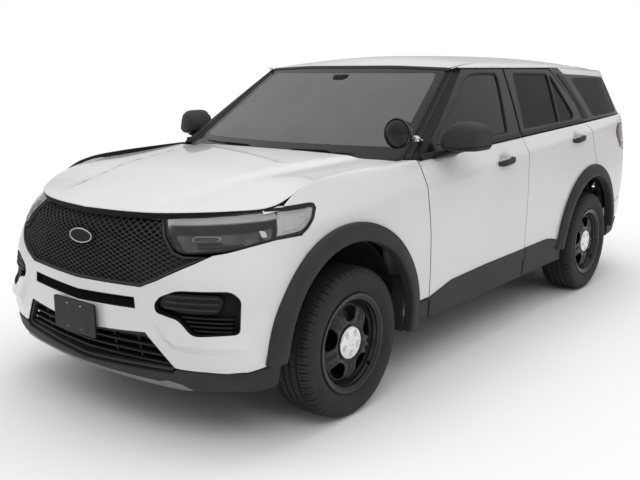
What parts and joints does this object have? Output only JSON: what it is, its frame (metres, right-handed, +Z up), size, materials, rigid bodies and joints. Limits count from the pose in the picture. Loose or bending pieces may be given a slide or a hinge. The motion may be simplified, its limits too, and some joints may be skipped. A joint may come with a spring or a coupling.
{
  "type": "police patrol car",
  "caption": "White full-size police patrol SUV with hinged doors, hood and tailgate, steered front wheels, black steel wheels, black mesh grille and a pillar spotlight.",
  "frame": {"origin": "on the ground, under the centre of the overall box", "axes": "+Z up, -Y towards the nose, +X towards the driver's side, which is the car's left"},
  "size_m": [2.286, 5.076, 1.7649],
  "materials": {
    "body_paint": "white gloss paint",
    "dark_plastic": "dark grained plastic",
    "black_gloss": "black gloss",
    "clear_glass": "clear laminated glass",
    "tinted_glass": "dark tinted glass",
    "lamp_glass": "clear lens",
    "red_lens": "red lens",
    "tyre_rubber": "black rubber",
    "wheel_black": "black painted steel",
    "floor_steel": "black coated steel",
    "engine_metal": "cast",
    "cabin_plastic": "dark grey",
    "seat_cloth": "dark grey cloth"
  },
  "bodies": {
    "body": {"roof": "body_paint", "front_bumper": "body_paint", "rear_bumper": "body_paint", "body_side_left": "body_paint", "body_side_right": "body_paint", "fender_left": "body_paint", "fender_right": "body_paint", "front_valance": "dark_plastic", "grille": "black_gloss", "lower_grilles": "dark_plastic", "headlamps": "lamp_glass", "tail_lamps": "red_lens", "quarter_glass": "tinted_glass", "windscreen": "clear_glass", "wheel_flares": "dark_plastic", "underbody": "floor_steel", "engine_block": "engine_metal", "front_suspension": "floor_steel", "rear_suspension": "floor_steel", "dashboard": "cabin_plastic", "steering_wheel": "cabin_plastic", "front_seats": "seat_cloth", "rear_seat": "seat_cloth", "seat_frames": "floor_steel", "centre_console": "cabin_plastic", "cowl": "dark_plastic", "plate_holder": "black_gloss", "spotlight": "black_gloss"},
    "hood": {"hood": "body_paint"},
    "tailgate": {"tailgate": "body_paint", "tailgate_glass": "tinted_glass"},
    "front_left_door": {"door_front_left": "body_paint", "door_front_left_glass": "clear_glass", "door_front_left_trim": "dark_plastic"},
    "front_right_door": {"door_front_right": "body_paint", "door_front_right_glass": "clear_glass", "door_front_right_trim": "dark_plastic"},
    "rear_left_door": {"door_rear_left": "body_paint", "door_rear_left_glass": "tinted_glass", "door_rear_left_trim": "dark_plastic"},
    "rear_right_door": {"door_rear_right": "body_paint", "door_rear_right_glass": "tinted_glass", "door_rear_right_trim": "dark_plastic"},
    "knuckle_left": {"knuckle_left": "floor_steel"},
    "knuckle_right": {"knuckle_right": "floor_steel"},
    "front_left_wheel": {"tyre_front_left": "tyre_rubber", "wheel_front_left": "wheel_black"},
    "front_right_wheel": {"tyre_front_right": "tyre_rubber", "wheel_front_right": "wheel_black"},
    "rear_left_wheel": {"tyre_rear_left": "tyre_rubber", "wheel_rear_left": "wheel_black"},
    "rear_right_wheel": {"tyre_rear_right": "tyre_rubber", "wheel_rear_right": "wheel_black"}
  },
  "joints": [
    {"name": "front_left_door_hinge", "type": "hinge", "parent": "body", "child": "front_left_door", "pos_m": [0.968, -0.96, 0.8], "axis": [0, 0, -1], "range_deg": [0, 65]},
    {"name": "front_right_door_hinge", "type": "hinge", "parent": "body", "child": "front_right_door", "pos_m": [-0.968, -0.96, 0.8], "axis": [0, 0, 1], "range_deg": [0, 65]},
    {"name": "rear_left_door_hinge", "type": "hinge", "parent": "body", "child": "rear_left_door", "pos_m": [0.975, 0.258, 0.8], "axis": [0, 0, -1], "range_deg": [0, 65]},
    {"name": "rear_right_door_hinge", "type": "hinge", "parent": "body", "child": "rear_right_door", "pos_m": [-0.975, 0.258, 0.8], "axis": [0, 0, 1], "range_deg": [0, 65]},
    {"name": "hood_hinge", "type": "hinge", "parent": "body", "child": "hood", "pos_m": [0, -1.085, 1.225], "axis": [-1, 0, 0], "range_deg": [0, 60]},
    {"name": "tailgate_hinge", "type": "hinge", "parent": "body", "child": "tailgate", "pos_m": [0, 2.156, 1.72], "axis": [1, 0, 0], "range_deg": [0, 80]},
    {"name": "steer_left", "type": "hinge", "parent": "body", "child": "knuckle_left", "pos_m": [0.7, -1.64, 0.374], "axis": [0, 0, 1], "range_deg": [-33, 33]},
    {"name": "steer_right", "type": "hinge", "parent": "body", "child": "knuckle_right", "pos_m": [-0.7, -1.64, 0.374], "axis": [0, 0, 1], "range_deg": [-33, 33]},
    {"name": "front_left_wheel_spin", "type": "hinge", "parent": "knuckle_left", "child": "front_left_wheel", "pos_m": [0.851, -1.64, 0.374], "axis": [1, 0, 0], "continuous": true},
    {"name": "front_right_wheel_spin", "type": "hinge", "parent": "knuckle_right", "child": "front_right_wheel", "pos_m": [-0.851, -1.64, 0.374], "axis": [1, 0, 0], "continuous": true},
    {"name": "rear_left_wheel_spin", "type": "hinge", "parent": "body", "child": "rear_left_wheel", "pos_m": [0.851, 1.385, 0.374], "axis": [1, 0, 0], "continuous": true},
    {"name": "rear_right_wheel_spin", "type": "hinge", "parent": "body", "child": "rear_right_wheel", "pos_m": [-0.851, 1.385, 0.374], "axis": [1, 0, 0], "continuous": true}
  ],
  "couplings": [
    {"joint": "steer_right", "follows": "steer_left", "ratio": 1}
  ]
}
